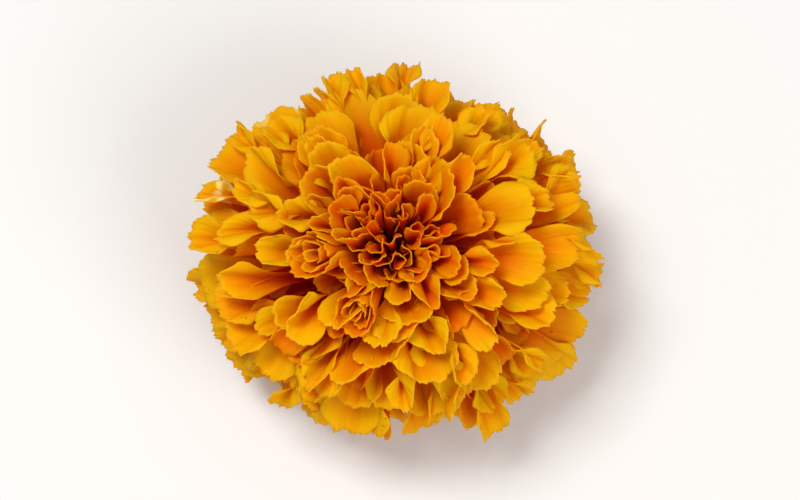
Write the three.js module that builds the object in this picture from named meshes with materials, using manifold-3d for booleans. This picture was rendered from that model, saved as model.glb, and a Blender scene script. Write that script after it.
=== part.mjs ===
// A double marigold, picked with a short stub of its stalk and set down face up.
// Millimetres, +Z up. The surface that it rests on is z = 0 and the stalk's axis is x = y = 0.
import * as THREE from "three";
import { mergeVertices } from "three/addons/utils/BufferGeometryUtils.js";
import Module from "manifold-3d";

const { cos, sin, exp, hypot, abs, PI } = Math;
const { clamp, degToRad, inverseLerp, lerp, smoothstep } = THREE.MathUtils;

// --- Driving dimensions -------------------------------------------------------------------

// The bloom: its petal tips lie near a flattened ball, dimpled at the top.
const BLOOM_RADIUS = 38;
const BLOOM_WAIST = 24; // height of the widest ring of tips
const BLOOM_RISE = 29; // from the waist up to the crown
const BLOOM_DROP = 39; // from the waist down, if the ball were whole
const LOWEST_POLAR = degToRad(126); // from the crown down to the last tips
const DIMPLE_DEPTH = 6.5;
const DIMPLE_RADIUS = 6.5;
const GAP_AZIMUTH = 3.93; // the outline draws in a little here

// The receptacle: every petal's narrow claw starts on this small dome.
const SEAT_RADIUS = 8;
const SEAT_BASE = 21.5;
const SEAT_RISE = 3.5;
const SEAT_SPREAD = 0.68; // a claw's polar angle as a share of its tip's

// The petals
const PETAL_COUNT = 240; // places on the spiral
const PLACE_STEP = 2; // every second place stays empty, so that the faces stay few,
const SHOULDER = { first: 74, last: 120 }; // but not here, where the tips stand far apart
// How far down the ball the tips have come, as shares of LOWEST_POLAR, by share of the places:
// close together at the crown, far apart on the shoulder and close together again at the rim.
const TIP_STOPS = [
  [0, 0.03],
  [0.03, 0.075],
  [0.125, 0.146],
  [0.23, 0.281],
  [0.34, 0.43],
  [0.59, 0.714],
  [0.73, 0.794],
  [1, 1],
];
const PETAL_WIDTH = { crown: 5.6, rim: 11.8 };
const PETAL_SPARE_WIDTH = 1.22; // each is this much wider, to cover the empty places
const PETAL_THICKNESS = 1.5;
const CLAW_WIDTH = 0.13; // share of the petal's width
const CLAW_ROLL = 2.3; // half angle of the gutter there, in radians
const LEAST_ROLL = 0.02; // a petal never opens quite flat,
const MOST_ROLL = 2.1; // and its edges never meet at the tip
const TIP_WAVE = 0.02; // how far the tip's edge waves in and out, as a share of its length,
const TIP_CORNERS = 0.13; // how far its corners fall back
const TIP_SLANT = 0.06; // and how far one corner may stand before the other
const RUFFLE = 0.045; // height of the waves along the sides, as a share of the width
const PLEAT = 0.06; // and of those across the tip
const MIDDLE_SHARE = 0.58; // where along the petal its bow is greatest
const RESTING_PETALS = 6; // the last ones droop onto the surface
const RESTING_DROOP = 1.14; // and hang this much lower than their place on the ball
const GOLDEN_ANGLE = Math.PI * (3 - Math.sqrt(5));

// How petals differ from each other. A spread is how far the draws take a trait apart in all,
// and a drift is how far it wanders either way over the bloom, alike for neighbours.
const CROWN_EDGE = { start: 0.15, end: 1 }; // polar angles where the crown's habit gives way
const AZIMUTH_SPREAD = { crown: 0.9, rim: 0.4 };
const REACH = { drift: 0.045, spread: 0.13 }; // shares of the tip's radius
const LIFT = { drift: 0.04, spread: 0.14 }; // shares of the tip's height over the waist
const BOW_SPREAD = 0.26; // share of the length
const HOOK = { least: -0.11, spread: 0.16 }; // shares of the length
const WIDTH_SPREAD = 0.5; // share of the usual width
const ROLL = { crown: 1.5, rim: 0, spread: 1.7 }; // half angle at the tip, in radians
const LEAN_DRIFT = degToRad(42); // a petal leans on its side with its neighbours,
const MOST_TWIST = { crown: degToRad(100), rim: degToRad(32) }; // and turns by itself
const MOST_SWAY = 0.18; // how far the tip moves sideways, as a share of the length

// Each trait has draws of its own.
const TRAIT = {
  azimuth: 1,
  reach: 2,
  lift: 3,
  bow: 4,
  width: 5,
  roll: 6,
  twist: 7,
  sway: 8,
  hook: 10,
  tipWave: 11,
  ruffle: 17,
  pleatWidth: 18,
  pleat: 19,
  tipCorners: 25,
  tipSlant: 26,
};

// Tufts of small curled petals, each where a quilled floret has opened
const TUFTS = [
  { azimuth: 3.47, polar: 0.42 },
  { azimuth: 4.3, polar: 0.52 },
];
const TUFT_PETALS = 4;
const TUFT_PETAL_WIDTH = 6;
const TUFT_RADIUS = 4;
const TUFT_ROLL = 1.7;

// The filled heart that the petals stand out of
const HEART_REACH = 0.56; // share of the way from claw to tip
const BLADE_START = 0.44; // the blades begin inside it,
const BLADE_MIDDLE = 0.76; // and are thickest here
const SMALL_PETAL = 9; // a blade narrower than this has two facets across, others four
const HEART_SEGMENTS = 24;
const HEART_RINGS = 9;

// The calyx: fused green bracts, a ribbed cup with a tooth at the end of each bract
const CUP_BASE = 5;
const CUP_RIM = 18;
const CUP_RADIUS = { base: 3.4, belly: 9.4, rim: 9.2 };
const CUP_WALL = 1.1;
const BRACTS = 8;
const RIB_HEIGHT = 0.35;
const TOOTH_HEIGHT = 1.8;

// The stalk's stub
const STALK_RADIUS = { cut: 2.7, top: 3.4 };
const PITH_RADIUS = 1.2;
const PITH_DEPTH = 1;
const STALK_RIDGES = 10;
const RIDGE_HEIGHT = 0.12;

const CLEARANCE = 0.3; // between neighbouring solids

// --- Small helpers ------------------------------------------------------------------------

// A repeatable draw from 0 to 1 for one trait of petal i.
function draw(i, trait) {
  const x = sin((i + 1) * 12.9898 + trait * 78.233) * 43758.5453;
  return x - Math.floor(x);
}

// The height at x of the broken line through these [x, height] stops.
function onStops(x, stops) {
  const next = Math.max(1, stops.findIndex(([end]) => end >= x));
  const [[start, low], [end, high]] = [stops[next - 1], stops[next]];
  return lerp(low, high, inverseLerp(start, end, x));
}

const wasm = await Module();
wasm.setup();

function toSolid(geometry) {
  const bare = geometry.clone();
  bare.deleteAttribute("normal");
  bare.deleteAttribute("uv");
  const merged = mergeVertices(bare, 1e-4);
  return new wasm.Manifold(
    new wasm.Mesh({
      numProp: 3,
      vertProperties: new Float32Array(merged.attributes.position.array),
      triVerts: new Uint32Array(merged.index.array),
    }),
  );
}

function toGeometry(solid) {
  const { vertProperties, triVerts } = solid.getMesh();
  const geometry = new THREE.BufferGeometry();
  geometry.setAttribute("position", new THREE.BufferAttribute(vertProperties, 3));
  geometry.setIndex(new THREE.BufferAttribute(triVerts, 1));
  geometry.computeVertexNormals();
  return geometry;
}

function makeMesh(name, geometry, colour, roughness) {
  const material = new THREE.MeshStandardMaterial({ color: colour, roughness, metalness: 0 });
  const mesh = new THREE.Mesh(geometry, material);
  mesh.name = name;
  return mesh;
}

// A closed profile of [radius, height] points turned about +Z.
function turned(profile, segments) {
  const points = profile.map(([radius, height]) => new THREE.Vector2(radius, height));
  return new THREE.LatheGeometry(points, segments).rotateX(PI / 2);
}

// --- The petals' law ----------------------------------------------------------------------

// Where a petal's claw and tip lie in its own upright half plane, as [radius, height].
function clawAndTip(polar, reach, lift) {
  const tipRadius = BLOOM_RADIUS * reach * sin(polar);
  const spread = cos(polar) > 0 ? BLOOM_RISE : BLOOM_DROP;
  const dimple = DIMPLE_DEPTH * exp(-((tipRadius / DIMPLE_RADIUS) ** 2));
  const seat = polar * SEAT_SPREAD;
  return {
    claw: [SEAT_RADIUS * sin(seat), SEAT_BASE + SEAT_RISE * cos(seat)],
    tip: [tipRadius, BLOOM_WAIST + spread * cos(polar) * lift - dimple],
  };
}

// The petal's midline: a quadratic curve whose middle point is pushed up by bow x length, and
// whose end curls up by hook x length x s^4, or down where hook is negative. It gives the point
// at share s of the way and the unit direction there.
function midline({ claw, tip }, bow, hook) {
  const along = [tip[0] - claw[0], tip[1] - claw[1]];
  const up = [-along[1], along[0]];
  return (s) => {
    const [point, slope] = [[], []];
    for (const axis of [0, 1]) {
      const [a, c] = [claw[axis], tip[axis]];
      const b = a + MIDDLE_SHARE * along[axis] + bow * up[axis];
      point.push(a * (1 - s) ** 2 + 2 * b * s * (1 - s) + c * s ** 2 + hook * up[axis] * s ** 4);
      slope.push(2 * (b - a) * (1 - s) + 2 * (c - b) * s + 4 * hook * up[axis] * s ** 3);
    }
    const length = hypot(...slope);
    return { point, direction: [slope[0] / length, slope[1] / length] };
  };
}

function usualBow(polar) {
  return -0.02 + 0.13 * smoothstep(polar, 0.1, 0.6) + 0.1 * smoothstep(polar, 1.3, 2.2);
}

// The bloom seen from above isn't round: it is a little long along X, and draws in at one place.
function outline(azimuth) {
  const gap = exp((cos(azimuth - GAP_AZIMUTH) - 1) / 0.02);
  return 1 + 0.068 * cos(2 * azimuth) + 0.012 * cos(3 * azimuth + 1) - 0.07 * gap;
}

// A smooth wandering from -1 to 1 over the bloom, so that neighbours lean alike.
function drift(azimuth, polar, phase) {
  return sin(3 * azimuth + 2 * polar + phase) * cos(2 * azimuth - 3 * polar + 1.7 * phase);
}

// Every trait of petal i: tips are spread over the ball in order from crown to calyx.
function petalTraits(i) {
  const rests = i >= PETAL_COUNT - RESTING_PETALS;
  const polar = LOWEST_POLAR * onStops(i / (PETAL_COUNT - 1), TIP_STOPS);
  const outer = smoothstep(polar, CROWN_EDGE.start, CROWN_EDGE.end);
  const either = (trait) => draw(i, trait) - 0.5;
  const azimuthSpread = lerp(AZIMUTH_SPREAD.crown, AZIMUTH_SPREAD.rim, outer);
  const azimuth = i * GOLDEN_ANGLE + azimuthSpread * either(TRAIT.azimuth);
  const reach = REACH.drift * drift(azimuth, polar, 0.6) + REACH.spread * either(TRAIT.reach);
  const usualLift = LIFT.drift * drift(azimuth, polar, 4.1) + LIFT.spread * either(TRAIT.lift);
  const lift = rests ? RESTING_DROOP : 1 + usualLift;
  const ends = clawAndTip(polar, outline(azimuth) * (1 + reach * outer), lift);
  const length = hypot(ends.tip[0] - ends.claw[0], ends.tip[1] - ends.claw[1]);
  const bow = usualBow(polar) + BOW_SPREAD * either(TRAIT.bow) * outer;
  const hook = (HOOK.least + HOOK.spread * draw(i, TRAIT.hook)) * outer;
  const usualWidth = lerp(PETAL_WIDTH.crown, PETAL_WIDTH.rim, smoothstep(polar, 0.05, 0.85));
  const leastRoll = lerp(ROLL.crown, ROLL.rim, smoothstep(polar, 0.08, 0.3));
  const lean = LEAN_DRIFT * drift(azimuth, polar, 2.2) * outer;
  const mostTwist = lerp(MOST_TWIST.crown, MOST_TWIST.rim, smoothstep(polar, 0.15, 0.4));
  return {
    i,
    azimuth,
    curve: midline(ends, bow, hook),
    width: usualWidth * (1 + WIDTH_SPREAD * either(TRAIT.width)),
    tipRoll: Math.min(leastRoll + ROLL.spread * draw(i, TRAIT.roll), MOST_ROLL),
    twist: lean + mostTwist * 2 * either(TRAIT.twist),
    sway: MOST_SWAY * length * 2 * either(TRAIT.sway) * lerp(0.5, 1, outer),
  };
}

// The traits of petal j of a tuft: a ring of gutters that open towards the tuft's own middle.
function tuftTraits(tuft, j) {
  const around = (2 * PI * j) / TUFT_PETALS;
  const spread = TUFT_RADIUS / BLOOM_RADIUS;
  const polar = tuft.polar + spread * cos(around);
  const azimuth = tuft.azimuth + (spread * sin(around)) / sin(tuft.polar);
  const ends = clawAndTip(polar, outline(azimuth), 1);
  return {
    i: PETAL_COUNT + j,
    azimuth,
    curve: midline(ends, usualBow(polar), 0),
    width: TUFT_PETAL_WIDTH,
    tipRoll: TUFT_ROLL,
    twist: Math.atan2(sin(around), cos(around)),
    sway: 0,
  };
}

// A point of the petal's middle surface, with u from -1 to 1 across it and v from 0 to 1 along
// it. Across, the blade is an arc of half angle "roll": closed like a gutter at the claw, open
// at the tip, where its width has grown like a fan's.
function petalPoint(petal, u, v) {
  const { i, width } = petal;
  const wave = (turns, trait) => sin(2 * PI * (turns + draw(i, trait)));
  let tipEdge = -TIP_CORNERS * abs(u) ** (2.2 + 2.4 * draw(i, TRAIT.tipCorners));
  tipEdge += TIP_SLANT * (draw(i, TRAIT.tipSlant) - 0.5) * u;
  tipEdge += TIP_WAVE * wave(2.1 * u, TRAIT.tipWave) * (1 - u ** 4);
  const s = v + tipEdge * v ** 3;

  const fan = clamp((v - 0.16) / 0.76, 0, 1) ** 1.45;
  const half = (width / 2) * PETAL_SPARE_WIDTH * lerp(CLAW_WIDTH, 1, fan);
  const closed = CLAW_ROLL * (1 - smoothstep(v, 0.05, 0.8));
  const opened = petal.tipRoll * smoothstep(v, 0.25, 0.8) * (1 - 0.35 * smoothstep(v, 0.8, 1));
  const roll = Math.max(abs(closed + opened), LEAST_ROLL) * (closed + opened < 0 ? -1 : 1);
  const across = (half / roll) * sin(roll * u);
  let height = (half / roll) * (1 - cos(roll * u));
  const ruffle = abs(u) ** 2.2 * smoothstep(v, 0.45, 0.9) * wave(1.7 * v + 0.15 * u, TRAIT.ruffle);
  const pleat = v ** 5 * wave(0.8 * u * (0.7 + 0.8 * draw(i, TRAIT.pleatWidth)), TRAIT.pleat);
  height += width * (RUFFLE * ruffle + PLEAT * pleat);

  const turn = petal.twist * s;
  const side = across * cos(turn) - height * sin(turn) + petal.sway * s ** 2;
  const rise = across * sin(turn) + height * cos(turn);
  const { point, direction } = petal.curve(s);
  const radius = point[0] - direction[1] * rise;
  return new THREE.Vector3(
    radius * cos(petal.azimuth) - side * sin(petal.azimuth),
    radius * sin(petal.azimuth) + side * cos(petal.azimuth),
    point[1] + direction[0] * rise,
  );
}

// --- Petals node --------------------------------------------------------------------------

// One petal as a closed blade: full thickness inside, and one sharp edge all round.
// Both faces are split along the same diagonals, so they never cross.
function petalBlade(petal) {
  const across = petal.width < SMALL_PETAL ? [-1, 0, 1] : [-1, -0.5, 0, 0.5, 1];
  const along = [BLADE_START, BLADE_MIDDLE, 1];
  const surface = along.map((v) => across.map((u) => petalPoint(petal, u, v)));
  const positions = [];
  const faces = [[], []]; // vertex numbers on the upper and the lower face
  for (let row = 0; row < along.length; row += 1) {
    for (let column = 0; column < across.length; column += 1) {
      const inside = row > 0 && row < along.length - 1 && column > 0 && column < across.length - 1;
      const here = surface[row][column];
      let offset = new THREE.Vector3();
      if (inside) {
        const acrossStep = surface[row][column + 1].clone().sub(surface[row][column - 1]);
        const alongStep = surface[row + 1][column].clone().sub(surface[row - 1][column]);
        offset = acrossStep.cross(alongStep).setLength(PETAL_THICKNESS / 2);
      }
      faces[0].push(positions.push(here.clone().add(offset)) - 1);
      faces[1].push(inside ? positions.push(here.clone().sub(offset)) - 1 : positions.length - 1);
    }
  }
  const index = [];
  for (let row = 0; row + 1 < along.length; row += 1) {
    for (let column = 0; column + 1 < across.length; column += 1) {
      const a = row * across.length + column;
      const [b, c, d] = [a + 1, a + 1 + across.length, a + across.length];
      for (const [p, q, r] of [[a, b, c], [a, c, d]]) {
        index.push(faces[0][p], faces[0][q], faces[0][r]);
        index.push(faces[1][p], faces[1][r], faces[1][q]);
      }
    }
  }
  const geometry = new THREE.BufferGeometry().setFromPoints(positions);
  geometry.setIndex(index);
  return geometry;
}

// The heart: the petals' law without its draws, at HEART_REACH of the way to the tips, closed
// below by a plug that fills the calyx.
function heartProfile() {
  const plugRadius = CUP_RADIUS.rim - CUP_WALL - RIB_HEIGHT - CLEARANCE;
  const collarRadius = CUP_RADIUS.rim + RIB_HEIGHT + CLEARANCE;
  const overTeeth = CUP_RIM + TOOTH_HEIGHT + CLEARANCE;
  const profile = [
    [0, CUP_BASE + 5],
    [CUP_RADIUS.base + 1.6, CUP_BASE + 5],
    [plugRadius, CUP_RIM - 4],
    [plugRadius, overTeeth],
    [collarRadius, overTeeth],
  ];
  for (let ring = 0; ring <= HEART_RINGS; ring += 1) {
    const polar = LOWEST_POLAR * (1 - ring / HEART_RINGS);
    const { point } = midline(clawAndTip(polar, 1, 1), usualBow(polar), 0)(HEART_REACH);
    profile.push(ring === HEART_RINGS ? [0, point[1]] : point);
  }
  return profile;
}

function isBuilt(i) {
  const rests = i >= PETAL_COUNT - RESTING_PETALS;
  const onShoulder = i >= SHOULDER.first && i <= SHOULDER.last;
  return rests || onShoulder || i % PLACE_STEP === 0;
}

function makePetals() {
  let bloom = toSolid(turned(heartProfile(), HEART_SEGMENTS));
  for (let i = 0; i < PETAL_COUNT; i += 1) {
    if (isBuilt(i)) {
      bloom = bloom.add(toSolid(petalBlade(petalTraits(i))));
    }
  }
  for (const tuft of TUFTS) {
    for (let j = 0; j < TUFT_PETALS; j += 1) {
      bloom = bloom.add(toSolid(petalBlade(tuftTraits(tuft, j))));
    }
  }
  const room = 6 * BLOOM_RADIUS;
  const above = new THREE.BoxGeometry(room, room, room).translate(0, 0, room / 2);
  bloom = bloom.intersect(toSolid(above)); // tips that droop onto the surface are flat there
  // Pockets closed in among the petals are filled and loose scraps dropped.
  const [whole] = bloom.decompose().sort((one, other) => other.volume() - one.volume());
  return makeMesh("petals", toGeometry(whole), 0xf08a0a, 0.55);
}

// --- Calyx node ---------------------------------------------------------------------------

function makeCalyx() {
  const { base, belly, rim } = CUP_RADIUS;
  const geometry = turned(
    [
      [0, CUP_BASE],
      [base, CUP_BASE],
      [base + 2.6, CUP_BASE + 1.4],
      [belly - 1, CUP_BASE + 5],
      [belly, CUP_BASE + 9],
      [rim, CUP_RIM],
      [rim - CUP_WALL, CUP_RIM],
      [belly - CUP_WALL, CUP_BASE + 9],
      [belly - 1 - CUP_WALL, CUP_BASE + 5 + CUP_WALL / 2],
      [base + 1.8, CUP_BASE + 1.4 + CUP_WALL],
      [0, CUP_BASE + 1.4 + CUP_WALL],
    ],
    48,
  );
  const place = geometry.attributes.position;
  for (let n = 0; n < place.count; n += 1) {
    const [x, y, z] = [place.getX(n), place.getY(n), place.getZ(n)];
    const radius = hypot(x, y);
    if (radius > base + 0.1) {
      const bract = cos(BRACTS * Math.atan2(y, x)); // 1 along the middle of each bract
      const up = (z - CUP_BASE) / (CUP_RIM - CUP_BASE);
      const grown = 1 + (RIB_HEIGHT * bract * smoothstep(up, 0, 0.4)) / radius;
      const tooth = up > 0.99 ? TOOTH_HEIGHT * smoothstep(bract, -0.6, 1) : 0;
      place.setXYZ(n, x * grown, y * grown, z + tooth);
    }
  }
  return makeMesh("calyx", toGeometry(toSolid(geometry)), 0x5f7d3a, 0.6);
}

// --- Stalk node ---------------------------------------------------------------------------

function makeStalk() {
  const { cut, top } = STALK_RADIUS;
  const geometry = turned(
    [
      [0, PITH_DEPTH],
      [PITH_RADIUS, PITH_DEPTH],
      [PITH_RADIUS, 0],
      [cut, 0],
      [cut, CUP_BASE / 2],
      [top, CUP_BASE - CLEARANCE],
      [0, CUP_BASE - CLEARANCE],
    ],
    40,
  );
  const place = geometry.attributes.position;
  for (let n = 0; n < place.count; n += 1) {
    const [x, y] = [place.getX(n), place.getY(n)];
    const radius = hypot(x, y);
    if (radius > PITH_RADIUS + 0.1) {
      const grown = 1 + (RIDGE_HEIGHT * cos(STALK_RIDGES * Math.atan2(y, x))) / radius;
      place.setXY(n, x * grown, y * grown);
    }
  }
  return makeMesh("stem", toGeometry(toSolid(geometry)), 0x6f8f45, 0.6);
}

const marigold = new THREE.Group();
marigold.add(makePetals(), makeCalyx(), makeStalk());

export default marigold;
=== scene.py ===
"""A double marigold head, picked with a short stub of its stalk and set down face up."""

import bpy
import numpy as np
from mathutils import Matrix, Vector


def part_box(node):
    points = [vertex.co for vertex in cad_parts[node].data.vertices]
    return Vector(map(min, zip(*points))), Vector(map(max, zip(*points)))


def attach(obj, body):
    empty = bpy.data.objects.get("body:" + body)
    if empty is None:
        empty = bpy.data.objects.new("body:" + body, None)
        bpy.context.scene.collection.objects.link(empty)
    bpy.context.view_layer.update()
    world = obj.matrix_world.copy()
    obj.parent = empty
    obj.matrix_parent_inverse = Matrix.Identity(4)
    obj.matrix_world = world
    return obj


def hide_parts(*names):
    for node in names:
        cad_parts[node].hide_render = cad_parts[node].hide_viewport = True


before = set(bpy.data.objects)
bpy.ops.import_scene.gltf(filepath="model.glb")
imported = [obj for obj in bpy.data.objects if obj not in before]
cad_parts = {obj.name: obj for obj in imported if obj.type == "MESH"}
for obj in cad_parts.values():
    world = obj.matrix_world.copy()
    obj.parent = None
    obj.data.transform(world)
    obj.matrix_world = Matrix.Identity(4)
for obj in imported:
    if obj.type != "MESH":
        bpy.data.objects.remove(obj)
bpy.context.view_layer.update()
MM = 0.001


# ---------------------------------------------------------------- Stem
# The top of the flower stalk, cut with a few millimetres left on. A ridged green skin round a
# pale spongy pith, which has shrunk a little at the cut. The calyx grows out of its upper end.

STEM_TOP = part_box("stem")[1][2]
STEM_CUT_RADIUS = 2.7 * MM
STEM_TOP_RADIUS = 3.4 * MM
STEM_RIDGES = 10
STEM_RIDGE_HEIGHT = 0.12 * MM
CUT_EDGE = 0.15 * MM
CUT_DIP = 0.05 * MM
PITH_RADIUS = 1.2 * MM
PITH_DEPTH = 1.0 * MM
PITH_COLOUR = (0.62, 0.66, 0.40, 1)
STEM_SIDES = 160


def rise(x, low, high):
    """0 up to low, 1 from high, and 3t^2 - 2t^3 between them."""
    t = np.clip((x - low) / (high - low), 0, 1)
    return t * t * (3 - 2 * t)


def turned(radius, height, sides, swell):
    """A closed skin turned about +Z, from a profile that starts and ends on the axis.

    At angle a, ring k has the radius and height that swell(a, radius[k], height[k]) gives.
    Returns the points, with one point at each pole, and the faces: quads, and a fan at each pole.
    """
    angle = np.linspace(0, 2 * np.pi, sides, endpoint=False)[None, :]
    ring_radius, ring_height = swell(angle, radius[1:-1, None], height[1:-1, None])
    rings = np.stack(
        [ring_radius * np.cos(angle), ring_radius * np.sin(angle), ring_height + 0 * angle], axis=-1
    )
    poles = np.array([[0, 0, height[0]], [0, 0, height[-1]]])
    points = np.concatenate([rings.reshape(-1, 3), poles])

    number = np.arange(rings.shape[0] * sides).reshape(-1, sides)
    beside = np.roll(number, -1, axis=1)
    walls = np.stack([number[:-1], beside[:-1], beside[1:], number[1:]], axis=-1)
    first = np.stack([beside[0], number[0], np.full(sides, len(points) - 2)], axis=-1)
    last = np.stack([number[-1], beside[-1], np.full(sides, len(points) - 1)], axis=-1)
    return points, walls.reshape(-1, 4).tolist() + first.tolist() + last.tolist()


def make_piece(name, points, faces, slot, node):
    """A smooth-shaded mesh that rides on the flower's one body and stands for a CAD node."""
    mesh = bpy.data.meshes.new(name)
    mesh.from_pydata(points.tolist(), [], faces)
    mesh.shade_smooth()
    piece = bpy.data.objects.new(name, mesh)
    bpy.context.scene.collection.objects.link(piece)
    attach(piece, "root")
    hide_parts(node)
    return piece


class Signal:
    """A value that varies over a surface: an output socket in a material's node tree.

    The operators add Math nodes, so that a pattern is written as a formula.
    """

    def __init__(self, tree, socket=None):
        self.tree = tree
        self.socket = socket

    def node(self, kind, settings=None, inputs=None, output=0):
        """Adds a node of this kind, sets it, feeds its inputs and gives one of its outputs."""
        made = self.tree.nodes.new("ShaderNode" + kind)
        for name, setting in (settings or {}).items():
            if name == "stops":
                for place, _ in setting[2:]:
                    made.color_ramp.elements.new(place)
                for element, (place, colour) in zip(made.color_ramp.elements, setting):
                    element.position = place
                    element.color = (*colour, 1)
            else:
                setattr(made, name, setting)
        for name, value in (inputs or {}).items():
            if isinstance(value, Signal):
                self.tree.links.new(value.socket, made.inputs[name])
            else:
                made.inputs[name].default_value = value
        return Signal(self.tree, made.outputs[output] if made.outputs else None)

    def math(self, operation, *values):
        return self.node("Math", {"operation": operation}, dict(enumerate(values)))

    def __add__(self, other):
        return self.math("ADD", self, other)

    def __sub__(self, other):
        return self.math("SUBTRACT", self, other)

    def __rsub__(self, other):
        return self.math("SUBTRACT", other, self)

    def __mul__(self, other):
        return self.math("MULTIPLY", self, other)

    __radd__ = __add__
    __rmul__ = __mul__

    def away_from(self, value):
        """How far this is from a value, to either side."""
        return self.math("ABSOLUTE", self - value)

    def part(self, axis):
        """One coordinate of a place: 0, 1 or 2."""
        return self.node("SeparateXYZ", {}, {0: self}, axis)

    def scaled(self, x, y, z):
        """A place stretched by x, y and z, so that a pattern read there is squeezed by them."""
        return self.node("VectorMath", {"operation": "MULTIPLY"}, {0: self, 1: (x, y, z)})

    def between(self, low, high):
        """0 where this is at low, 1 where it is at high, and a smooth step between."""
        settings = {"interpolation_type": "SMOOTHSTEP"}
        return self.node("MapRange", settings, {"Value": self, "From Min": low, "From Max": high})

    def noise(self, scale, detail):
        """Soft noise round 0.5, read at this place."""
        return self.node("TexNoise", {}, {"Vector": self, "Scale": scale, "Detail": detail})

    def ramp(self, *stops):
        """A colour for each value, from (value, (red, green, blue)) stops."""
        return self.node("ValToRGB", {"stops": stops}, {"Fac": self})

    def mixed(self, first, second):
        """The first colour where this is 0 and the second where it is 1."""
        return self.node("Mix", {"data_type": "RGBA"}, {0: self, 6: first, 7: second}, 2)

    def relief(self, height, strength):
        """A normal bent as if this were a relief of that height."""
        return self.node("Bump", {}, {"Height": self, "Distance": height, "Strength": strength})


def new_material(name):
    """An empty material, and a signal from which its nodes are started."""
    material = bpy.data.materials.new(name)
    material.use_nodes = True
    material.node_tree.nodes.clear()
    return material, Signal(material.node_tree)


def stem_material():
    """Streaky green skin round the pale pith, which shows at the cut."""
    material, start = new_material("stalk skin")
    place = start.node("TexCoord", output=3)
    streak = place.scaled(1, 1, 0.12).noise(1400, 3)
    skin = streak.ramp((0.30, (0.075, 0.150, 0.022)), (0.70, (0.200, 0.300, 0.070)))
    across = start.node("VectorMath", {"operation": "LENGTH"}, {0: place.scaled(1, 1, 0)}, 1)
    inside = 1 - across.between(STEM_CUT_RADIUS - 0.5 * MM, STEM_CUT_RADIUS - 0.2 * MM)
    shader = start.node(
        "BsdfPrincipled",
        {},
        {
            "Base Color": inside.mixed(skin, PITH_COLOUR),
            "Roughness": 0.55,
            "Specular IOR Level": 0.3,
            "Normal": streak.relief(0.15 * MM, 0.6),
        },
    )
    start.node("OutputMaterial", {}, {"Surface": shader})
    return material


def stem_swell(angle, radius, height):
    """Outside the pith the radius gains ridges of 0.6 c + 0.4 c^3, where c = cos(ridges x angle)."""
    wave = np.cos(STEM_RIDGES * angle)
    ridge = STEM_RIDGE_HEIGHT * (0.6 * wave + 0.4 * wave**3)
    return radius + ridge * rise(radius, PITH_RADIUS, 0.9 * STEM_CUT_RADIUS), height


# From the middle of the sunken pith, out over the edge of the cut and up to the middle of the top.
stem_radius = [0, 0.6 * PITH_RADIUS, PITH_RADIUS, PITH_RADIUS + CUT_EDGE]
stem_radius += [STEM_CUT_RADIUS - CUT_EDGE, STEM_CUT_RADIUS, STEM_CUT_RADIUS]
stem_radius += [0.6 * STEM_CUT_RADIUS + 0.4 * STEM_TOP_RADIUS, STEM_TOP_RADIUS, 0]
stem_height = [PITH_DEPTH, PITH_DEPTH, 0.7 * PITH_DEPTH, CUT_DIP, 0, CUT_EDGE, 0.45 * STEM_TOP]
stem_height += [0.75 * STEM_TOP, STEM_TOP, STEM_TOP]
stem_shape = turned(np.array(stem_radius), np.array(stem_height), STEM_SIDES, stem_swell)
stem = make_piece("stalk", *stem_shape, "stem", "stem")
stem.data.materials.append(stem_material())


# ---------------------------------------------------------------- Calyx
# One row of green bracts grown together by their edges into a cup, with a rib along the middle
# of each bract, a pointed tooth at its end and small dark oil glands all over.

CUP_BASE, CUP_TIP = (corner[2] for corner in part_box("calyx"))
TOOTH_HEIGHT = 1.8 * MM
CUP_RIM = CUP_TIP - TOOTH_HEIGHT
CUP_BASE_RADIUS = 3.4 * MM
CUP_SWELL = 6.0 * MM
CUP_WALL = 0.9 * MM
CUP_TUCK = 0.2 * MM
BRACTS = 8
RIB_HEIGHT = 0.35 * MM
CUP_SIDES = 320
CUP_ROWS = 40
RIM_ROWS = 5
TOOTH_COLOUR = (0.34, 0.36, 0.09, 1)
GLAND_COLOUR = (0.095, 0.045, 0.008, 1)


def cup_profile():
    """The cup's closed profile: out from the axis, up the outside, over the rim, down the inside.

    At share q of the height the wall's radius is base + swell x sin(90 deg sqrt(q)) - tuck x q^4.
    """
    share = np.linspace(0, 1, CUP_ROWS) ** 1.6
    wall = CUP_BASE_RADIUS + CUP_SWELL * np.sin(np.pi / 2 * np.sqrt(share)) - CUP_TUCK * share**4
    height = CUP_BASE + (CUP_RIM - CUP_BASE) * share
    inner_height = height + 1.6 * CUP_WALL * (1 - share) ** 2
    over = np.linspace(0, np.pi, RIM_ROWS)[1:-1]
    rim = wall[-1] - CUP_WALL * (0.5 - 0.5 * np.cos(over))
    rim_height = CUP_RIM + 0.35 * CUP_WALL * np.sin(over)
    radius = [[0], wall, rim, wall[:1:-1] - CUP_WALL, [0]]
    heights = [[CUP_BASE], height, rim_height, inner_height[:1:-1], [inner_height[2]]]
    return np.concatenate(radius), np.concatenate(heights)


def cup_swell(angle, radius, height):
    """Ribs and teeth, from b = cos(bracts x angle), which is 1 along the middle of a bract.

    The radius gains rib x (0.5 b + 0.5 b^5), less a narrow seam at b = -1, fading in from the
    base, and near the rim the height gains tooth x rise(b), so that the rim ends in points.
    """
    bract = np.cos(BRACTS * angle)
    up = (height - CUP_BASE) / (CUP_RIM - CUP_BASE)
    seam = 0.5 * rise(-bract, 0.93, 1)
    rib = RIB_HEIGHT * (0.5 * bract + 0.5 * bract**5 - seam) * rise(up, 0, 0.4)
    point = rise(bract, -0.7, 1.2) / rise(1.0, -0.7, 1.2)
    return radius + rib * (radius > 0.9 * CUP_BASE_RADIUS), height + TOOTH_HEIGHT * point * up**12


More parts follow.
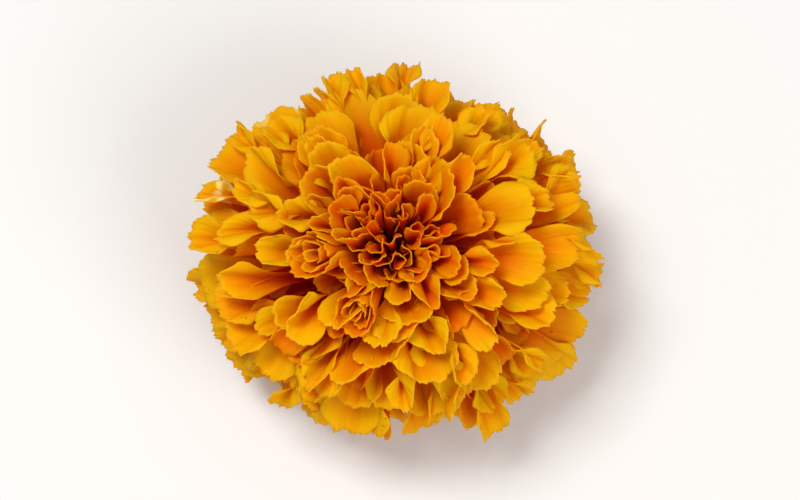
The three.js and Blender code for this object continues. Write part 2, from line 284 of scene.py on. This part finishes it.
def cup_material():
    """Waxy green, paler on the teeth, with long dark glands and a fine vertical grain."""
    material, start = new_material("calyx skin")
    place = start.node("TexCoord", output=3)
    grain = place.scaled(1, 1, 0.25).noise(900, 3)
    green = grain.ramp((0.30, (0.060, 0.125, 0.018)), (0.72, (0.165, 0.265, 0.050)))
    height = place.part(2)
    tipped = height.between(CUP_RIM - 1.5 * MM, CUP_TIP).mixed(green, TOOTH_COLOUR)
    spots = start.node(
        "TexVoronoi", {}, {"Vector": place.scaled(1, 1, 0.45), "Scale": 620, "Randomness": 0.85}
    )
    gland = 1 - spots.between(0.16, 0.30)
    colour = (gland * 0.75).mixed(tipped, GLAND_COLOUR)
    shader = start.node(
        "BsdfPrincipled",
        {},
        {
            "Base Color": colour,
            "Roughness": 0.48 + 0.2 * grain,
            "Specular IOR Level": 0.35,
            "Normal": (grain + gland * 0.5).relief(0.12 * MM, 0.7),
        },
    )
    start.node("OutputMaterial", {}, {"Surface": shader})
    return material


calyx = make_piece("calyx_cup", *turned(*cup_profile(), CUP_SIDES, cup_swell), "calyx", "calyx")
calyx.data.materials.append(cup_material())


# ---------------------------------------------------------------- Floret bed
# What fills the cup's mouth: the narrow tubes of some hundred florets, packed side by side on
# the receptacle. Only their pale sides show, from below and between the claws of the petals.

SEAT_RADIUS = 8.0 * MM
SEAT_BASE = 21.5 * MM
SEAT_RISE = 3.5 * MM
BED_RADIUS = 7.3 * MM
BED_FLARE = 1.1
BED_TUBES = 44
FLUTE_DEPTH = 0.35 * MM
BED_FOOT = CUP_RIM - 5 * MM
BED_SIDES = 352
BED_SIDE_ROWS = 8
BED_DOME_ROWS = 12


def bed_swell(angle, radius, height):
    """The side is fluted by |cos(tubes / 2 x angle)|."""
    flute = FLUTE_DEPTH * (np.abs(np.cos(BED_TUBES / 2 * angle)) - 0.5)
    return radius + flute * rise(radius, 0.4 * BED_RADIUS, 0.8 * BED_RADIUS), height


def bed_material():
    """Pale yellow-green tubes that turn orange towards the petals."""
    material, start = new_material("floret tubes")
    place = start.node("TexCoord", output=3)
    mottle = place.noise(700, 3) * 1.2 * MM + place.part(2)
    colour = mottle.between(CUP_RIM, SEAT_BASE + 3 * MM).ramp(
        (0.0, (0.30, 0.34, 0.08)), (0.5, (0.62, 0.42, 0.05)), (1.0, (0.60, 0.16, 0.005))
    )
    settings = {"Base Color": colour, "Roughness": 0.6, "Specular IOR Level": 0.2}
    start.node("OutputMaterial", {}, {"Surface": start.node("BsdfPrincipled", {}, settings)})
    return material


def bed_profile():
    """The bed's closed profile: a flat foot, a side that flares as a square, and a dome on top."""
    up = np.linspace(0, 1, BED_SIDE_ROWS)
    dome = np.linspace(0, np.pi / 2, BED_DOME_ROWS)[1:-1]
    side = BED_RADIUS * (1 + (BED_FLARE - 1) * up**2)
    radius = [[0, 0.5 * BED_RADIUS], side, BED_FLARE * BED_RADIUS * np.cos(dome), [0]]
    side_height = BED_FOOT + (SEAT_BASE - BED_FOOT) * up
    dome_height = SEAT_BASE + SEAT_RISE * np.sin(dome)
    height = [[BED_FOOT, BED_FOOT], side_height, dome_height, [SEAT_BASE + SEAT_RISE]]
    return np.concatenate(radius), np.concatenate(height)


bed_shape = turned(*bed_profile(), BED_SIDES, bed_swell)
bed = make_piece("floret_bed", *bed_shape, "petal", "petals")
bed.data.materials.append(bed_material())


# ---------------------------------------------------------------- Petals
# A few hundred ray florets on a golden-angle spiral. Each is one soft petal: a narrow claw rolled
# like a gutter, which opens into a fan with a scalloped tip. Their tips lie near a flattened ball
# with a dimple at its crown, and the last ones hang down to the table, which presses them flat.

PETAL_COUNT = 240
GOLDEN_ANGLE = np.pi * (3 - np.sqrt(5))
CROWN_AZIMUTH_SPREAD = 0.9
RIM_AZIMUTH_SPREAD = 0.4

BLOOM_RADIUS = 38 * MM
BLOOM_WAIST = 24 * MM
BLOOM_RISE = 29 * MM
BLOOM_DROP = 39 * MM
DIMPLE_DEPTH = 6.5 * MM
DIMPLE_RADIUS = 6.5 * MM
OUTLINE_OVAL = 0.068
OUTLINE_SKEW = 0.012
GAP_AZIMUTH = 3.93
GAP_DEPTH = 0.07
GAP_SHARPNESS = 0.02
LOWEST_POLAR = np.radians(126)
POLAR_SHARES = (  # shares of the spiral, and the shares of LOWEST_POLAR reached there
    (0, 0.03, 0.125, 0.23, 0.340, 0.59, 0.73, 1),
    (0.03, 0.075, 0.146, 0.281, 0.430, 0.714, 0.794, 1),
)
SEAT_SPREAD = 0.68
RESTING_PETALS = 6
RESTING_DROOP = 1.14

REACH_DRIFT = 0.045
REACH_SPREAD = 0.13
LIFT_DRIFT = 0.04
LIFT_SPREAD = 0.14
CROWN_BOW = -0.02
MIDDLE_BOW = 0.13
HANGING_BOW = 0.10
BOW_SPREAD = 0.26
LEAST_HOOK = -0.11
HOOK_SPREAD = 0.16
LEAN_DRIFT = np.radians(42)
CROWN_TWIST = np.radians(100)
RIM_TWIST = np.radians(32)
MOST_SWAY = 0.18

CROWN_WIDTH = 5.6 * MM
RIM_WIDTH = 11.8 * MM
WIDTH_SPREAD = 0.5
CLAW_WIDTH = 0.13
CLAW_END = 0.16
FAN_END = 0.92
CLAW_THICKNESS = 0.45 * MM
TIP_THICKNESS = 0.20 * MM

CLAW_ROLL = 2.3
CROWN_ROLL = 1.5
ROLL_SPREAD = 1.7
MOST_ROLL = 2.6
MOST_FOLD = 1.2
MOST_KEEL = 0.9
RUFFLE = 0.55
PLEAT = 0.38
CRIMP = 0.20

TIP_ROUNDING = 0.13
TIP_SLANT = 0.06
SCALLOP = 0.009
SMALL_SCALLOP = 0.0045
FINE_SCALLOP = 0.0035
MOST_NOTCH = 0.030
NOTCH_WIDTH = 0.06
SCALLOPED_WIDTH = 8.5 * MM

TRAIT_SEEDS = {  # what tells the draws for one petal apart
    "azimuth": 1,
    "reach": 2,
    "lift": 3,
    "bow": 4,
    "width": 5,
    "roll": 6,
    "twist": 7,
    "sway": 8,
    "fold": 9,
    "hook": 10,
    "scallop": 11,
    "small scallop": 12,
    "left notch": 13,
    "left notch depth": 14,
    "right notch": 15,
    "right notch depth": 16,
    "ruffle": 17,
    "pleat turns": 18,
    "pleat": 19,
    "crimp": 20,
    "tone": 23,
    "small scallop fading": 24,
    "tip rounding": 25,
    "tip slant": 26,
    "fine scallop": 27,
    "fine scallop fading": 28,
    "shortening": 29,
    "keel": 31,
}


def draw(number, trait):
    """A repeatable draw from 0 to 1 for a petal and a trait: the fraction of a large sine."""
    x = np.sin((number + 1) * 12.9898 + TRAIT_SEEDS[trait] * 78.233) * 43758.5453
    return x - np.floor(x)


def even_draw(number, trait):
    """The same draw, moved to lie from -0.5 to 0.5."""
    return draw(number, trait) - 0.5


def wave(number, trait, turns):
    """sin(2 pi turns), shifted along by the petal's own draw for that trait."""
    return np.sin(2 * np.pi * (turns + draw(number, trait)))


def blend(first, last, share):
    """The first value at share 0, the last at share 1, and evenly between."""
    return first + (last - first) * share


def outline(azimuth):
    """How far the tips reach, round the bloom: a little long along X, drawn in at one gap."""
    gap = np.exp((np.cos(azimuth - GAP_AZIMUTH) - 1) / GAP_SHARPNESS)
    ripple = OUTLINE_OVAL * np.cos(2 * azimuth) + OUTLINE_SKEW * np.cos(3 * azimuth + 1)
    return 1 + ripple - GAP_DEPTH * gap


def drift(azimuth, polar, phase):
    """A smooth wandering from -1 to 1 over the bloom, so that neighbours lean alike."""
    return np.sin(3 * azimuth + 2 * polar + phase) * np.cos(2 * azimuth - 3 * polar + 1.7 * phase)


def claws_and_tips(polar, reach, lift):
    """The ends of each petal in its own upright half plane, as (radius, height) pairs.

    The claw starts on a small dome at SEAT_SPREAD of the tip's polar angle. The tip's radius is
    bloom radius x reach x sin(polar) and its height waist + (rise or drop) x cos(polar) x lift,
    less the dimple, a bell curve of the radius.
    """
    tip_radius = BLOOM_RADIUS * reach * np.sin(polar)
    spread = np.where(np.cos(polar) > 0, BLOOM_RISE, BLOOM_DROP)
    dimple = DIMPLE_DEPTH * np.exp(-((tip_radius / DIMPLE_RADIUS) ** 2))
    tip = np.stack([tip_radius, BLOOM_WAIST + spread * np.cos(polar) * lift - dimple])
    seat = polar * SEAT_SPREAD
    claw = np.stack([SEAT_RADIUS * np.sin(seat), SEAT_BASE + SEAT_RISE * np.cos(seat)])
    return claw, tip


def polar_at(place):
    """A tip's polar angle, read off POLAR_SHARES at place / (count - 1)."""
    return LOWEST_POLAR * np.interp(place / (PETAL_COUNT - 1), *POLAR_SHARES)


def outwards_at(polar):
    """0 at the crown, and 1 from a polar angle of 1 radian outwards, where petals are freest."""
    return rise(polar, 0.15, 1)


def spiral_azimuth(place):
    """As many golden angles as the place's number, and a draw that is larger at the crown."""
    spread = blend(CROWN_AZIMUTH_SPREAD, RIM_AZIMUTH_SPREAD, outwards_at(polar_at(place)))
    return place * GOLDEN_ANGLE + spread * even_draw(place, "azimuth")


def petal_traits(place, azimuth, number):
    """Everything that sets a petal apart, from its place on the spiral and its own draws."""
    rests = place >= PETAL_COUNT - RESTING_PETALS
    polar = polar_at(place)
    outer = outwards_at(polar)
    uneven = REACH_DRIFT * drift(azimuth, polar, 0.6) + REACH_SPREAD * even_draw(number, "reach")
    reach = outline(azimuth) * (1 + uneven * outer)
    lift = 1 + LIFT_DRIFT * drift(azimuth, polar, 4.1) + LIFT_SPREAD * even_draw(number, "lift")
    claw, tip = claws_and_tips(polar, reach, np.where(rests, RESTING_DROOP, lift))
    bow = CROWN_BOW + MIDDLE_BOW * rise(polar, 0.1, 0.6) + HANGING_BOW * rise(polar, 1.3, 2.2)
    width = blend(CROWN_WIDTH, RIM_WIDTH, rise(polar, 0.05, 0.85))
    roll = ROLL_SPREAD * draw(number, "roll") + CROWN_ROLL * (1 - rise(polar, 0.08, 0.3))
    lean = LEAN_DRIFT * drift(azimuth, polar, 2.2) * outer
    most_twist = blend(CROWN_TWIST, RIM_TWIST, rise(polar, 0.15, 0.4))
    return {
        "number": number,
        "ring": place / (PETAL_COUNT - 1),
        "azimuth": azimuth,
        "claw": claw,
        "tip": tip,
        "bow": bow + BOW_SPREAD * even_draw(number, "bow") * outer,
        "hook": (LEAST_HOOK + HOOK_SPREAD * draw(number, "hook")) * outer,
        "width": width * (1 + WIDTH_SPREAD * even_draw(number, "width")),
        "roll": np.minimum(roll, MOST_ROLL),
        "fold": MOST_FOLD * draw(number, "fold"),
        "keel": MOST_KEEL * draw(number, "keel") * outer,
        "twist": lean + most_twist * 2 * even_draw(number, "twist"),
        "sway": MOST_SWAY * 2 * even_draw(number, "sway") * blend(0.5, 1, outer),
    }


def tip_outline(number, u):
    """How far the tip stands out at u, as a share of the petal's length.

    Its corners are rounded off by |u| to a drawn power of 2.2 to 4.6, and it slants a little.
    Three waves scallop it: the first fades towards the corners and the others here and there.
    Two narrow notches, bell curves of u, are cut into its sides.
    """
    rounding = TIP_ROUNDING * np.abs(u) ** (2.2 + 2.4 * draw(number, "tip rounding"))
    stands_out = TIP_SLANT * even_draw(number, "tip slant") * u - rounding
    stands_out = stands_out + SCALLOP * wave(number, "scallop", 2.1 * u) * (1 - u**4)
    here = 1 + wave(number, "small scallop fading", 1.3 * u)
    stands_out = stands_out + SMALL_SCALLOP * wave(number, "small scallop", 5.3 * u) * here
    there = 1 - wave(number, "fine scallop fading", 1.6 * u)
    stands_out = stands_out + FINE_SCALLOP * wave(number, "fine scallop", 8.7 * u) * there
    for side, notch in ((-1, "left notch"), (1, "right notch")):
        at = side * (0.25 + 0.35 * draw(number, notch))
        depth = MOST_NOTCH * draw(number, notch + " depth") ** 3
        stands_out = stands_out - depth * np.exp(-(((u - at) / NOTCH_WIDTH) ** 2))
    return stands_out


def section_slope(each, u, v):
    """The slope of the petals' cross-sections at u, for each v.

    A closed gutter, roll x u, opens from the claw's roll to the petal's own. Fold bends it more
    sharply at the middle, and keel adds a crease there, a step of tanh(u / 0.22), from v = 0.3 on.
    Ruffles grow as |u|^2.2 towards the edges, pleats as v^5 and crimps as v^9 towards the tip.
    """
    number = each["number"]
    own_roll = each["roll"] * rise(v, 0.25, 0.8) * (1 - 0.35 * rise(v, 0.8, 1))
    roll = CLAW_ROLL * (1 - rise(v, 0.05, 0.80)) + own_roll
    bend = u + each["fold"] * rise(v, 0.2, 0.6) * (np.tanh(u / 0.2) - u)
    keel = each["keel"] * np.tanh(u / 0.22) * rise(v, 0.3, 0.7) * (1 - 0.5 * rise(v, 0.85, 1))
    towards_edge = np.sign(u) * np.abs(u) ** 2.2 * rise(v, 0.4, 0.9)
    ruffle = RUFFLE * towards_edge * wave(number, "ruffle", 1.7 * v + 0.15 * u)
    pleats = 1.4 * (0.7 + 0.8 * draw(number, "pleat turns"))
    pleat = PLEAT * v**5 * wave(number, "pleat", pleats * u)
    crimp = CRIMP * v**9 * wave(number, "crimp", 4.1 * u)
    return roll * bend + keel + ruffle + pleat + crimp


def run_out(slope, across):
    """A cross-section from its slope: the running sums of cos and sin from the middle outwards."""
    steps = np.diff(across)
    middle = len(across) // 2
    sums = []
    for part in (np.cos(slope), np.sin(slope)):
        pieces = 0.5 * (part[..., 1:] + part[..., :-1]) * steps
        total = np.concatenate([0 * part[..., :1], np.cumsum(pieces, axis=-1)], axis=-1)
        sums.append(total - total[..., middle : middle + 1])
    return sums


def petal_surface(petal, rows, columns):
    """The middle surface of each petal, at u from -1 to 1 across it and v from 0 to 1 along it.

    Along: a quadratic curve from claw to tip, its middle point pushed up by bow x length, and a
    hook of hook x length x s^4, where s = v + tip outline x v^3. A narrow petal's tip outline is
    flatter. Across: the section run out from its slope, as wide as the claw at first and fanning
    out as a power of v. It is turned by twist x s and moved aside by sway x length x s^2.
    Returns the points, and each point's place on its blade, both parts from 0 to 1.
    """
    each = {name: np.asarray(value)[..., None, None] for name, value in petal.items()}
    across = np.linspace(-1, 1, columns)
    u = across[None, None, :]
    v = (1 - (1 - np.linspace(0, 1, rows)) ** 1.25)[None, :, None]

    scalloped = np.minimum(each["width"] / SCALLOPED_WIDTH, 1)
    s = v + tip_outline(each["number"], u) * scalloped * v**3

    fan = np.clip((v - CLAW_END) / (FAN_END - CLAW_END), 0, 1) ** 1.45
    half_width = each["width"] / 2 * blend(CLAW_WIDTH, 1, fan)
    side, height = run_out(section_slope(each, u, v), across)
    side, height = side * half_width, height * half_width

    claw, tip = each["claw"], each["tip"]
    along = tip - claw
    length = np.hypot(along[0], along[1])
    up = np.stack([-along[1], along[0]])
    middle = claw + 0.58 * along + each["bow"] * up
    line = claw * (1 - s) ** 2 + 2 * middle * s * (1 - s) + tip * s**2 + each["hook"] * up * s**4
    heading = 2 * (middle - claw) * (1 - s) + 2 * (tip - middle) * s + 4 * each["hook"] * up * s**3
    heading = heading / np.hypot(heading[0], heading[1])

    turn = each["twist"] * s
    aside = side * np.cos(turn) - height * np.sin(turn) + each["sway"] * length * s**2
    above = side * np.sin(turn) + height * np.cos(turn)
    radius = line[0] - heading[1] * above
    x = radius * np.cos(each["azimuth"]) - aside * np.sin(each["azimuth"])
    y = radius * np.sin(each["azimuth"]) + aside * np.cos(each["azimuth"])
    points = np.stack([x, y, line[1] + heading[0] * above], axis=-1)
    blade_place = np.broadcast_arrays(0.5 + 0.5 * u, v, x)[:2]
    return pressed_flat(points), blade_place


def pressed_flat(points):
    """What would hang below the table lies on it instead, pushed outwards by half that depth."""
    lowest = 0.6 * TIP_THICKNESS
    below = np.maximum(lowest - points[..., 2:], 0)
    outwards = points[..., :2] / np.linalg.norm(points[..., :2], axis=-1, keepdims=True)
    return np.concatenate([points[..., :2] + 0.5 * below * outwards, points[..., 2:] + below], -1)


def blades(surface, thickness):
    """Closed blades: each middle surface moved half its thickness out both ways along its normal.

    Returns the points, the quads and, for each quad, whether it is one of the narrow rim.
    """
    normal = np.cross(np.gradient(surface, axis=2), np.gradient(surface, axis=1))
    normal = normal / np.linalg.norm(normal, axis=-1, keepdims=True)
    offset = normal * thickness / 2
    count, rows, columns, _ = surface.shape
    sheet = rows * columns
    points = np.stack([surface + offset, surface - offset], axis=1).reshape(-1, 3)

    number = np.arange(sheet).reshape(rows, columns)
    corners = [number[:-1, :-1], number[:-1, 1:], number[1:, 1:], number[1:, :-1]]
    upper = np.stack(corners, axis=-1).reshape(-1, 4)
    lower = upper[:, ::-1] + sheet
    round_it = np.concatenate([number[0], number[1:, -1], number[-1, -2::-1], number[-2:0:-1, 0]])
    onwards = np.roll(round_it, -1)
    rim = np.stack([round_it, round_it + sheet, onwards + sheet, onwards], axis=-1)
    faces = np.concatenate([upper, lower, rim])
    is_rim = np.arange(len(faces)) >= 2 * len(upper)
    first = 2 * sheet * np.arange(count)[:, None, None]
    return points, (faces + first).reshape(-1, 4), np.tile(is_rim, count)


PETAL_COLOURS = (  # from the claw's deep red-orange to the tip's gold; the deep end also paints shade
    (0.10, (0.58, 0.014, 0.0003)),
    (0.42, (0.80, 0.060, 0.0004)),
    (0.62, (0.90, 0.210, 0.0005)),
    (0.78, (0.95, 0.450, 0.0006)),
    (0.95, (0.99, 0.730, 0.0008)),
)
CLOUD_SPREAD = 0.16
VEIN_SPREAD = 0.10
TONE_SPREAD = 0.14
# How much redder the crown's petals, and most of all those at its heart, are read: partly their own
# colour, partly painted shade in the crown's hollow.
CROWN_REDNESS_AND_SHADE = 0.26
HEART_REDNESS_AND_SHADE = 0.10
# Gold margins and a redder middle line: partly the petal's own colour, partly painted shade in the
# fold along the middle.
SIDE_GOLD_AND_MIDDLE_SHADE = 0.08
# Painted highlight: the colour of the paler line along each petal's end.
EDGE_HIGHLIGHT_COLOUR = (0.98, 0.74, 0.03, 1)
# Pale cream patches: part bleaching, part painted highlight.
BLEACH_AND_HIGHLIGHT_COLOUR = (1.0, 0.86, 0.32, 1)
BLEACH_AND_HIGHLIGHT_TONE = 0.4085  # petals with nearly this tone get pale patches: part bleaching, part painted highlight
SPECK_COLOUR = (0.22, 0.06, 0.004, 1)
GLOW_COLOUR = (1.0, 0.20, 0.001, 1)
GLOW_SHARE = 0.45


def petal_material():
    """Satin petal: gold at the tip, deep red-orange towards the claw, thin enough to glow.

    Its colour is read off a ramp at a value made of the place along the blade, shifted by clouds,
    fine veins and the petal's own tone, and lower towards the claw, the crown and the middle line:
    partly the petal's own deeper colour there, partly painted shade. Its end is a paler line, a
    painted highlight; a few petals have pale patches, part bleaching and part painted highlight;
    and small brown specks are strewn here and there.
    """
    material, start = new_material("marigold petal")
    place = start.node("TexCoord", output=3)
    blade = start.node("UVMap", {"uv_map": "blade"})
    across, along = blade.part(0), blade.part(1)
    tone = start.node("Attribute", {"attribute_name": "tone"}, {}, 2)
    ring = start.node("Attribute", {"attribute_name": "ring"}, {}, 2)

    own_place = start.node("CombineXYZ", {}, {0: across, 1: along, 2: tone})
    veins = own_place.scaled(26, 1.6, 40).noise(1.0, 2)
    creases = own_place.scaled(7, 3, 90).noise(1.0, 3)
    clouds = place.noise(210, 3)
    # Painted shade in part: the ramp is read lower towards the claw, so the petal's own deeper base
    # turns redder still where it lies in shade between its neighbours.
    ripeness_and_shade = along + CLOUD_SPREAD * (clouds - 0.5) + VEIN_SPREAD * (veins - 0.5)
    ripeness_and_shade = ripeness_and_shade + TONE_SPREAD * (tone - 0.5)
    # Petals towards the crown and its heart are read redder: partly their own colour, partly painted
    # shade in the crown's hollow.
    ripeness_and_shade = ripeness_and_shade + CROWN_REDNESS_AND_SHADE * (ring.between(0.0, 0.32) - 1)
    ripeness_and_shade = ripeness_and_shade + HEART_REDNESS_AND_SHADE * (ring.between(0.0, 0.06) - 1)
    # Gold margins and a redder middle line: partly the petal's own colour, partly painted shade in
    # the fold along the middle.
    ripeness_and_shade = ripeness_and_shade + SIDE_GOLD_AND_MIDDLE_SHADE * (across.away_from(0.5).between(0.0, 0.4) - 0.6)
    colour = ripeness_and_shade.ramp(*PETAL_COLOURS)

    # Painted highlight: a paler line along the petal's end, stronger on the outer petals, where
    # light catches the rim.
    edge = along.between(0.975, 1.0) * (0.15 + 0.35 * ring.between(0.0, 0.5))
    colour = edge.mixed(colour, EDGE_HIGHLIGHT_COLOUR)
    # Pale patches on a few outer petals, part bleaching and part painted highlight; less light glows
    # through them.
    pale = 1 - tone.away_from(BLEACH_AND_HIGHLIGHT_TONE).between(0.003, 0.005)
    bleach_and_highlight_end = pale * ring.between(0.3, 0.5) * along.between(0.5, 0.75)
    bleach_and_highlight_patch = bleach_and_highlight_end * place.noise(240, 1).between(0.48, 0.60)
    colour = (bleach_and_highlight_patch * 0.75).mixed(colour, BLEACH_AND_HIGHLIGHT_COLOUR)
    speck = 1 - place.noise(1500, 0).between(0.16, 0.20)
    colour = (speck * place.noise(60, 1).between(0.5, 0.62) * 0.8).mixed(colour, SPECK_COLOUR)

    petal = start.node(
        "BsdfPrincipled",
        {},
        {
            "Base Color": colour,
            "Roughness": 0.50 + 0.15 * veins,
            "Specular IOR Level": 0.06,
            "Normal": (0.25 * veins + creases).relief(0.5 * MM, 0.5),
        },
    )
    glow = start.node("BsdfTranslucent", {}, {"Color": GLOW_COLOUR})
    shader = start.node("MixShader", {}, {0: GLOW_SHARE * (1 - bleach_and_highlight_patch), 1: petal, 2: glow})
    start.node("OutputMaterial", {}, {"Surface": shader})
    return material


petal_skin = petal_material()


def make_petals(name, petal, grid, ripe=1.0):
    """One piece of like petals, each a closed blade that is thicker at its claw.

    The blade map holds the place across and ripe x the place along, and two attributes hold
    each petal's tone and its ring, from 0 at the crown to 1 at the rim.
    """
    surface, (across, along) = petal_surface(petal, *grid)
    thickness = blend(CLAW_THICKNESS, TIP_THICKNESS, rise(along, 0.1, 0.7))
    points, faces, is_rim = blades(surface, thickness[..., None])
    piece = make_piece(name, points, faces.tolist(), "petal", "petals")
    mesh = piece.data
    mesh.polygons.foreach_set("use_smooth", ~is_rim)
    one_side = np.stack([across, along * np.reshape(ripe, (-1, 1, 1))], axis=-1)
    both_sides = np.stack([one_side, one_side], axis=1).reshape(-1, 2)
    blade_map = mesh.uv_layers.new(name="blade")
    blade_map.uv.foreach_set("vector", both_sides[faces.ravel()].astype(np.float32).ravel())
    for label, value in (("tone", draw(petal["number"], "tone")), ("ring", petal["ring"])):
        attribute = mesh.attributes.new(label, "FLOAT", "POINT")
        per_point = np.repeat(value, len(points) // len(value))
        attribute.data.foreach_set("value", per_point.astype(np.float32))
    mesh.materials.append(petal_skin)


LONG_GRID = (15, 49)
PETAL_PIECES = (
    ("crown_petals", 0, 60, (15, 37)),
    ("upper_petals", 60, 110, LONG_GRID),
    ("shoulder_petals", 110, 155, LONG_GRID),
    ("rim_petals", 155, 198, LONG_GRID),
    ("hanging_petals", 198, PETAL_COUNT, LONG_GRID),
)
for piece_name, first, last, grid in PETAL_PIECES:
    number = np.arange(first, last)
    make_petals(piece_name, petal_traits(number, spiral_azimuth(number), number), grid)


# ---------------------------------------------------------------- Short petals
# Younger florets stand between the long ones and stop short of them, so that little more than
# their tips shows. Each grows where the gap between the other tips is widest.

SHORT_PETALS = 160
SHORT_PLACES = (2.5, 214.5)
FIRST_SHORT_NUMBER = 500
SHORTEST = 0.70
SHORT_SPREAD = 0.26
SHORT_RING = 0.12
SHORT_RING_SPREAD = 0.2
SHORT_GRID = (12, 25)
GAP_TRIES = 360


def directions(azimuth, polar):
    """Unit vectors from the ball's middle."""
    flat = np.sin(polar)
    return np.stack([flat * np.cos(azimuth), flat * np.sin(azimuth), np.cos(polar) + 0 * flat], -1)


def widest_gap(polar, taken):
    """The azimuth at which a tip of this polar angle is farthest from every taken direction."""
    tries = np.linspace(0, 2 * np.pi, GAP_TRIES, endpoint=False)
    nearest = (directions(tries, polar + 0 * tries) @ taken.T).max(axis=1)
    return tries[np.argmin(nearest)]


short_place = np.linspace(*SHORT_PLACES, SHORT_PETALS)
long_place = np.arange(PETAL_COUNT)
taken = directions(spiral_azimuth(long_place), polar_at(long_place))
short_azimuth = []
for polar in polar_at(short_place):
    short_azimuth.append(widest_gap(polar, taken))
    taken = np.append(taken, directions(np.array(short_azimuth[-1:]), np.array([polar])), axis=0)

number = FIRST_SHORT_NUMBER + np.arange(SHORT_PETALS)
short = petal_traits(short_place, np.array(short_azimuth), number)
length_share = SHORTEST + SHORT_SPREAD * draw(number, "shortening")
short["tip"] = blend(short["claw"], short["tip"], length_share)
short["width"] = short["width"] * length_share
short["ring"] = SHORT_RING + SHORT_RING_SPREAD * short["ring"]
make_petals("short_petals", short, SHORT_GRID, ripe=blend(0.5, 1, length_share))


# ---------------------------------------------------------------- Quilled tufts
# Here and there tubular florets have opened instead of flat ones: a tuft of small petals, each
# curled round towards the tuft's own middle.

TUFTS = ((3.47, 0.42), (4.30, 0.52))
TUFT_PETALS = 9
TUFT_NUMBER_STEP = 50
TUFT_RADIUS = 4.8 * MM
TUFT_PETAL_WIDTH = 7.5 * MM
TUFT_RING = 0.12
TUFT_BOW = 0.08
TUFT_HOOK = -0.03
TUFT_FOLD = 0.1
TUFT_GRID = (18, 25)


def tuft_traits(azimuth, polar, first):
    """Small petals on a golden-angle spiral round a tuft's middle, turned to face it.

    Petal n stands radius x sqrt((n + 0.6) / count) from the middle. The outer ones are larger,
    more open and a little higher.
    """
    number = np.arange(TUFT_PETALS)
    alike = np.ones(TUFT_PETALS)
    around = np.arctan2(np.sin(number * GOLDEN_ANGLE), np.cos(number * GOLDEN_ANGLE))
    spread = TUFT_RADIUS / BLOOM_RADIUS * np.sqrt((number + 0.6) / TUFT_PETALS)
    own_polar = polar + spread * np.cos(around)
    own_azimuth = azimuth + spread * np.sin(around) / np.sin(polar)
    lift = 0.99 + 0.03 * (number / TUFT_PETALS)
    claw, tip = claws_and_tips(own_polar, outline(own_azimuth), lift)
    size = blend(0.55, 1, np.sqrt(number / TUFT_PETALS))
    return {
        "number": first + number,
        "ring": TUFT_RING * alike,
        "azimuth": own_azimuth,
        "claw": claw,
        "tip": tip,
        "bow": TUFT_BOW * alike,
        "hook": TUFT_HOOK * size,
        "width": TUFT_PETAL_WIDTH * size,
        "roll": 3.4 - 1.9 * size,
        "fold": TUFT_FOLD * alike,
        "keel": 0 * alike,
        "twist": around,
        "sway": 0 * alike,
    }


tufts = []
for index, (azimuth, polar) in enumerate(TUFTS):
    tufts.append(tuft_traits(azimuth, polar, PETAL_COUNT + TUFT_NUMBER_STEP * index))
joined_tufts = {name: np.concatenate([tuft[name] for tuft in tufts], axis=-1) for name in tufts[0]}
make_petals("quilled_tufts", joined_tufts, TUFT_GRID)


# ---------------------------------------------------------------- Table, light and camera
# A pale matt table, a large soft light high on the left, a soft fill low in front and a soft sky
# all round. The camera looks down on the bloom from a little in front.

TABLE_SIZE = 2.0
TABLE_PAINT = {"Base Color": (0.85, 0.84, 0.82, 1), "Roughness": 0.85, "Specular IOR Level": 0.1}
SKY_COLOUR = (1.0, 0.99, 0.97, 1)
SKY_STRENGTH = 0.38
LIGHTS = (  # name, place, size and power
    ("high left light", (-0.30, 0.20, 0.88), 0.35, 5.6),
    ("low front fill", (0.50, -0.50, 0.60), 0.60, 3.6),
)
LENS = 100.0
SENSOR = 36.0
CAMERA_ELEVATION = np.radians(78)
BLOOM_SHARE_OF_VIEW = 418 / 800
BLOOM_OFF_CENTRE = (-1.2 * MM, 0.3 * MM)
LOOK_HEIGHT = 1.25 * BLOOM_WAIST

half_table = TABLE_SIZE / 2
table_corners = [(-half_table, -half_table, 0), (half_table, -half_table, 0)]
table_corners += [(half_table, half_table, 0), (-half_table, half_table, 0)]
table_mesh = bpy.data.meshes.new("table")
table_mesh.from_pydata(table_corners, [], [(0, 1, 2, 3)])
table = bpy.data.objects.new("table", table_mesh)
bpy.context.scene.collection.objects.link(table)
table_material, table_start = new_material("pale matt table")
table_shader = table_start.node("BsdfPrincipled", {}, TABLE_PAINT)
table_start.node("OutputMaterial", {}, {"Surface": table_shader})
table_mesh.materials.append(table_material)

world = bpy.data.worlds.new("soft sky")
world.use_nodes = True
world.node_tree.nodes["Background"].inputs["Color"].default_value = SKY_COLOUR
world.node_tree.nodes["Background"].inputs["Strength"].default_value = SKY_STRENGTH
bpy.context.scene.world = world


def soft_light(name, place, size, power):
    """A square area light that faces the bloom."""
    lamp = bpy.data.lights.new(name, "AREA")
    lamp.size = size
    lamp.energy = power
    light = bpy.data.objects.new(name, lamp)
    light.location = place
    aim = Vector((0, 0, BLOOM_WAIST)) - Vector(place)
    light.rotation_euler = aim.to_track_quat("-Z", "Y").to_euler()
    bpy.context.scene.collection.objects.link(light)


for light_values in LIGHTS:
    soft_light(*light_values)

camera = bpy.data.objects.new("camera", bpy.data.cameras.new("camera"))
camera.data.lens = LENS
camera.data.sensor_width = SENSOR
bloom_low, bloom_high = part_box("petals")
view_width = (bloom_high[0] - bloom_low[0]) / BLOOM_SHARE_OF_VIEW
camera_distance = view_width * LENS / SENSOR
towards_camera = Vector((0, -np.cos(CAMERA_ELEVATION), np.sin(CAMERA_ELEVATION)))
view_up = Vector((0, np.sin(CAMERA_ELEVATION), np.cos(CAMERA_ELEVATION)))
look_at = Vector((-BLOOM_OFF_CENTRE[0], 0, LOOK_HEIGHT)) - BLOOM_OFF_CENTRE[1] * view_up
camera.location = look_at + camera_distance * towards_camera
camera.rotation_euler = (-towards_camera).to_track_quat("-Z", "Y").to_euler()
bpy.context.scene.collection.objects.link(camera)
bpy.context.scene.camera = camera
bpy.context.scene.view_settings.view_transform = "Standard"
